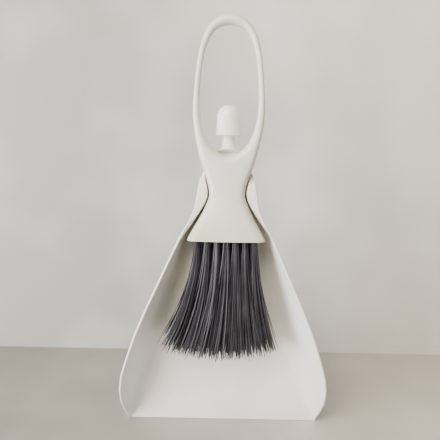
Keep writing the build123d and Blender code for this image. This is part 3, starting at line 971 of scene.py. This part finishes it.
def grain_of(tree, size_mm, detail):
    """Noise whose cells have a size in millimetres."""
    return noise(tree, math_node(tree, "DIVIDE", 1 / MM, size_mm), detail)


print("noise with cells of 2 mm has a scale of", 1 / (2 * MM))

# %% [markdown]
# A group keeps its recipe in one place, and each plastic feeds it its own numbers. Materials all start
# from the same standard shader, with shades of one colour made by multiplying it.
# %% Groups and materials


def new_group(name, inputs, outputs):
    """An empty node group with named number inputs and outputs."""
    group = bpy.data.node_groups.new(name, "ShaderNodeTree")
    for label, value in inputs.items():
        socket = group.interface.new_socket(name=label, in_out="INPUT", socket_type="NodeSocketFloat")
        socket.default_value = value
    for label in outputs:
        group.interface.new_socket(name=label, in_out="OUTPUT", socket_type="NodeSocketFloat")
    return group, group.nodes.new("NodeGroupInput").outputs, group.nodes.new("NodeGroupOutput").inputs


def use_group(tree, group, **inputs):
    made = tree.nodes.new("ShaderNodeGroup")
    made.node_tree = group
    return feed(tree, made, {label.replace("_", " "): value for label, value in inputs.items()}).outputs


def new_material(name):
    material = bpy.data.materials.new(name)
    material.use_nodes = True
    return material, material.node_tree, material.node_tree.nodes["Principled BSDF"]


def shaded(colour, share):
    return tuple(c * share for c in colour[:3]) + (1,)


print("a grey at nine tenths", shaded((0.5, 0.5, 0.5, 1), 0.9))

# %% [markdown]
# The moulded skin is measured in millimetres, and Blender's noise takes cells per metre, so the groups
# divide. The skin's first output is a height for a bump, its second a cloudiness from 0 to 1. Dust and
# wear put out a mask: dust lies where a face looks up, and wear sits on sharp edges.
# %% Moulded skin, dust and edge wear groups
sizes = {"Grain mm": 0.8, "Cloud mm": 30}
skin_group, given, result = new_group("moulded_skin", sizes, ("Height", "Cloud"))
grain = grain_of(skin_group, given["Grain mm"], 3.0)
cloud = grain_of(skin_group, given["Cloud mm"], 2.0)
height = math_node(skin_group, "MULTIPLY_ADD", cloud, 2.5, grain)
skin_group.links.new(height, result["Height"])
skin_group.links.new(remap(skin_group, cloud, 0.35, 0.65), result["Cloud"])

dust_group, given, result = new_group("settled_dust", {"Speck mm": 2.0, "Cover": 0.5}, ("Mask",))
specks = remap(dust_group, grain_of(dust_group, given["Speck mm"], 6.0), 0.45, 0.75)
patches = remap(dust_group, noise(dust_group, 22.0, 2.0), 0.4, 0.65)
normal = node(dust_group, "NewGeometry").outputs["Normal"]
upward = node(dust_group, "SeparateXYZ", {0: normal}).outputs["Z"]
lying = remap(dust_group, upward, -0.2, 0.9, 0.25, 1.0)
dusty = math_node(dust_group, "MULTIPLY", math_node(dust_group, "MULTIPLY", specks, patches), lying)
dust_group.links.new(math_node(dust_group, "MULTIPLY", dusty, given["Cover"]), result["Mask"])

wear_group, given, result = new_group("edge_wear", {"Chip mm": 3.0, "Amount": 0.5}, ("Mask",))
chips = remap(wear_group, grain_of(wear_group, given["Chip mm"], 5.0), 0.4, 0.7)
sharp = remap(wear_group, node(wear_group, "NewGeometry").outputs["Pointiness"], 0.52, 0.62)
worn = math_node(wear_group, "MULTIPLY", sharp, chips)
wear_group.links.new(math_node(wear_group, "MULTIPLY", worn, given["Amount"]), result["Mask"])
print("groups", [g.name for g in bpy.data.node_groups])

# %% [markdown]
# The broom is a warm ivory and the pan a cooler white, both satin mouldings. Where the wall is thin, at
# hems and rims, light comes through, and that glow is painted into the colour as a yellower tone; its
# share is stored on each mesh as its nearness to an edge.
# %% Plastic materials


def plastic(name, colour, thin_glow_colour, rough, grain_mm, bump, dust, has_thin_glow):
    """A satin plastic; dust is the share that dust may cover, bump the strength of its skin."""
    material, tree, shader = new_material(name)
    skin = use_group(tree, skin_group, Grain_mm=grain_mm, Cloud_mm=34.0)
    dusty = use_group(tree, dust_group, Speck_mm=1.6, Cover=dust)["Mask"]
    worn = use_group(tree, wear_group, Chip_mm=2.4, Amount=0.35)["Mask"]
    tone = mix_colour(tree, skin["Cloud"], shaded(colour, CLOUD_SHADE), colour)
    # Painted glow: near thin edges the colour turns yellower, standing in for light shining through.
    if has_thin_glow:
        near = node(tree, "Attribute", attribute_name="thin_glow_share").outputs["Fac"]
        tone = mix_colour(tree, math_node(tree, "MULTIPLY", near, THIN_GLOW_SHARE), tone, thin_glow_colour)
    tone = mix_colour(tree, worn, tone, WORN_TONE)
    tone = mix_colour(tree, dusty, tone, DUST_TONE)
    roughness = math_node(tree, "MULTIPLY_ADD", skin["Cloud"], 0.08, rough - 0.04)
    roughness = math_node(tree, "MULTIPLY_ADD", dusty, 0.35, roughness)
    relief = node(tree, "Bump", {"Height": skin["Height"], "Strength": bump, "Distance": 0.00006})
    feed(tree, shader, {
        "Base Color": tone, "Roughness": roughness, "Normal": relief.outputs[0], "IOR": 1.5,
        "Subsurface Weight": 0.25, "Subsurface Radius": (1.0, 0.8, 0.5), "Subsurface Scale": 0.0018,
    })
    return material


CLOUD_SHADE, THIN_GLOW_SHARE = 0.955, 0.6
WORN_TONE, DUST_TONE = (0.92, 0.92, 0.9, 1), (0.46, 0.43, 0.38, 1)
# The second colour of each pair is the painted glow of light through thin plastic.
IVORY, IVORY_GLOW = (0.77, 0.765, 0.715, 1), (0.67, 0.635, 0.43, 1)
WHITE, WHITE_GLOW = (0.885, 0.895, 0.88, 1), (0.86, 0.845, 0.72, 1)
BLOCK, BLOCK_GLOW = (0.70, 0.69, 0.62, 1), (0.7, 0.66, 0.5, 1)
ivory = plastic("ivory_plastic", IVORY, IVORY_GLOW, 0.30, 0.9, 0.35, 0.10, True)
white = plastic("white_plastic", WHITE, WHITE_GLOW, 0.34, 0.9, 0.35, 0.14, True)
block_white = plastic("block_plastic", BLOCK, BLOCK_GLOW, 0.5, 0.6, 0.5, 0.35, False)
print("nodes in the ivory plastic", len(ivory.node_tree.nodes))

# %% [markdown]
# Bristle filament is drawn nylon: nearly black violet-grey, with a soft shine along its length. Each
# filament has its own stored tone, so neighbours part into light and dark strands.
# %% Bristle and wire materials
DARK_STRAND, LIGHT_STRAND = (0.0105, 0.0095, 0.0145, 1), (0.140, 0.135, 0.168, 1)
DULL_WIRE, BRIGHT_WIRE = (0.42, 0.42, 0.41, 1), (0.58, 0.58, 0.56, 1)

bristle, tree, shader = new_material("bristle_filament")
tone = node(tree, "Attribute", attribute_name="tone").outputs["Fac"]
along = noise(tree, 90.0, 3.0)
shade = math_node(tree, "MULTIPLY_ADD", math_node(tree, "POWER", tone, 4.0), 0.85,
                  remap(tree, along, 0.35, 0.7, 0.0, 0.15))
streak = node(tree, "Bump", {"Height": along, "Strength": 0.3, "Distance": 0.0001})
feed(tree, shader, {"Base Color": mix_colour(tree, shade, DARK_STRAND, LIGHT_STRAND),
                    "Roughness": remap(tree, tone, 0, 1, 0.5, 0.32),
                    "Normal": streak.outputs[0], "IOR": 1.53})

wire, tree, shader = new_material("anchor_wire")
skin = use_group(tree, skin_group, Grain_mm=0.3, Cloud_mm=5.0)
relief = node(tree, "Bump", {"Height": skin["Height"], "Strength": 0.3, "Distance": 0.00003})
feed(tree, shader, {"Base Color": mix_colour(tree, skin["Cloud"], DULL_WIRE, BRIGHT_WIRE),
                    "Roughness": remap(tree, skin["Cloud"], 0, 1, 0.28, 0.45),
                    "Normal": relief.outputs[0], "Metallic": 1.0})
print("materials", len(bpy.data.materials))

# %% [markdown]
# The moulding meshes learn how near each point is to an edge, which sets the painted glow of light
# through thin plastic. On the broom that is the distance to the silhouette, with more of it towards the
# hem and the loop's top, where the painted glow is strongest. On the pan it is the distance down from
# the rim.
# %% Painted glow shares
EDGE_FADE, RIM_FADE, LOWEST_WALL = 2.2, 3.0, 10
SKIRT_GLOW, SKIRT_LEVELS, LOOP_GLOW, LOOP_LEVELS = 0.7, (179, 204), 0.6, (322, 340)


def store_thin_glow_share(thing, values):
    attribute = thing.data.attributes.new("thin_glow_share", "FLOAT", "POINT")
    attribute.data.foreach_set("value", np.asarray(values, np.float32))


def corner_places(thing):
    """A mesh's points as (across, depth, level) rows in millimetres."""
    places = np.zeros(len(thing.data.vertices) * 3)
    thing.data.vertices.foreach_get("co", places)
    places = places.reshape(-1, 3) / MM
    return np.stack([places[:, 0], -places[:, 1], places[:, 2] - LIP_Z], axis=1)


points = corner_places(broom)
levels = points[:, 2]
gap = distances(points[:, [0, 2]], outer_line, False)
gap = np.minimum(gap, 0.6 * (levels - HEM) + 1)
# Painted glow share: high near the silhouette and the hem, and over the lower skirt and the loop's top.
near = np.exp(-gap / EDGE_FADE) * (levels < NECKLINE - 4)
glow = SKIRT_GLOW * (1 - eased(levels, *SKIRT_LEVELS)) + LOOP_GLOW * eased(levels, *LOOP_LEVELS)
store_thin_glow_share(broom, np.maximum(near, glow))
print("broom's edge share, at most", round(float(np.maximum(near, glow).max()), 2))

points = corner_places(dustpan)
# On the pan the painted glow share is highest just below the rim.
rim_depth = np.interp(points[:, 2], pan_levels, pan_rows[:, 2])
below_rim = np.clip(rim_depth - points[:, 1], 0, None)
store_thin_glow_share(dustpan, np.exp(-below_rim / RIM_FADE) * (rim_depth > LOWEST_WALL))

# %% [markdown]
# Every piece is hung on the CAD body it moves with, and the CAD node it stands for is hidden. The
# bristle block and the wire anchors keep their CAD shapes and only get their materials.
# %% Pieces on the frame


def dress(thing, material, body, node_name):
    thing.data.materials.clear()
    thing.data.materials.append(material)
    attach(thing, body)
    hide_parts(node_name)


dress(broom, ivory, "broom", "broom_handle")
dress(dustpan, white, "dustpan", "dustpan")
for number, tuft in enumerate(tufts, 1):
    dress(tuft, bristle, "broom", f"tuft_{number:02d}")
for node_name, material in (("bristle_block", block_white), ("tuft_anchors", wire)):
    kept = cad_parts[node_name]
    kept.data.materials.clear()
    kept.data.materials.append(material)
print("dressed", 2 + len(tufts))

# %% [markdown]
# A plain pale floor and wall show the set as it stood, close in front of a light wall. Both carry a
# painted light gradient, darker to the left and lighter to the right, where more of the room's light
# falls. The wall's back is see-through, so the object can also be looked at from behind, and it
# stands just far enough off for the pan to be drawn back from the broom.
# %% Floor and wall
FLOOR_Z = place(0, 0, 0).z - 0.0002
WALL_Y, WALL_HALF, WALL_TOP, FLOOR_HALF = 0.122, 1.2, 0.9, 2
FLOOR_TONE, WALL_TONE, LEFT_PAINTED_SHADE = (0.58, 0.54, 0.495, 1), (0.78, 0.76, 0.735, 1), 0.46


def stage_plane(name, corners, colour, see_through):
    mesh = bpy.data.meshes.new(name)
    mesh.from_pydata(corners, [], [(0, 1, 2, 3)])
    thing = new_object(name, mesh)
    material, tree, shader = new_material(name)
    spots = node(tree, "TexCoord").outputs["Object"]
    # Painted light: the colour is darker to the left and lighter to the right, with a soft random mottle.
    side = remap(tree, node(tree, "SeparateXYZ", {0: spots}).outputs["X"], -0.16, 0.2, -0.5, 0.5)
    share = math_node(tree, "ADD", noise(tree, 9.0, 2.0), side)
    tone = mix_colour(tree, share, shaded(colour, LEFT_PAINTED_SHADE), colour)
    feed(tree, shader, {"Base Color": tone, "Roughness": 0.7})
    if see_through:
        clear = node(tree, "BsdfTransparent").outputs[0]
        back = node(tree, "NewGeometry").outputs["Backfacing"]
        joined = node(tree, "MixShader", {0: back, 1: shader.outputs[0], 2: clear})
        tree.links.new(joined.outputs[0], tree.nodes["Material Output"].inputs["Surface"])
    thing.data.materials.append(material)
    thing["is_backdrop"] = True
    return thing


def rectangle(half, back, front):
    """Four corners from left to right, first along one edge and then back along the other."""
    return [(-half, *back), (half, *back), (half, *front), (-half, *front)]


floor_corners = rectangle(FLOOR_HALF, (-FLOOR_HALF, FLOOR_Z), (FLOOR_HALF, FLOOR_Z))
wall_corners = rectangle(WALL_HALF, (WALL_Y, FLOOR_Z), (WALL_Y, WALL_TOP))
stage_plane("floor", floor_corners, FLOOR_TONE, False)
stage_plane("wall", wall_corners, WALL_TONE, True)
print("floor at", round(FLOOR_Z, 4), "wall at", WALL_Y)

# %% [markdown]
# The shading in the photograph tells two lights apart: a cool window low on the left, which turns the
# pan's left wall grey and its right wall bright, and a warmer lamp high in front. A weak glow from the
# right and one from behind keep the shadows soft.
# %% Lights


def area_light(name, spot, aim, size, power, colour):
    light = bpy.data.lights.new(name, "AREA")
    light.shape, light.size, light.energy, light.color = "DISK", size, power, colour
    thing = new_object(name, light)
    thing.location = spot
    thing.rotation_mode = "QUATERNION"
    thing.rotation_quaternion = (Vector(aim) - Vector(spot)).to_track_quat("-Z", "Y")


ROOM_TONE = (0.84, 0.90, 1.0, 1)
area_light("window", (-0.82, -0.56, -0.08), (0, 0, -0.17), 0.55, 19.0, (0.93, 0.97, 1.0))
area_light("lamp", (-0.30, -0.68, 0.52), (0, 0, -0.17), 0.6, 15.0, (1.0, 0.87, 0.66))
area_light("room", (0.75, -0.55, 0.1), (0, 0, -0.2), 0.8, 1.4, (0.9, 0.95, 1.0))
area_light("behind", (0.3, 0.9, 0.5), (0, 0, -0.17), 0.8, 6.0, (1.0, 0.98, 0.95))
world = bpy.data.worlds.new("room_air")
world.use_nodes = True
feed(world.node_tree, world.node_tree.nodes["Background"], {"Color": ROOM_TONE, "Strength": 0.10})
bpy.context.scene.world = world

# %% [markdown]
# Last, the box of the CAD model and the box of the dressed model are written side by side, because a
# dressing that grew past the CAD sizes would no longer fit its own part.
# %% Sizes and finish
boxes = {"cad": [list(corner) for corner in cad_box], "visual": [list(corner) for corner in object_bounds()]}
for label, (low, high) in boxes.items():
    print(label, [round(v / MM, 1) for v in low], [round(v / MM, 1) for v in high])
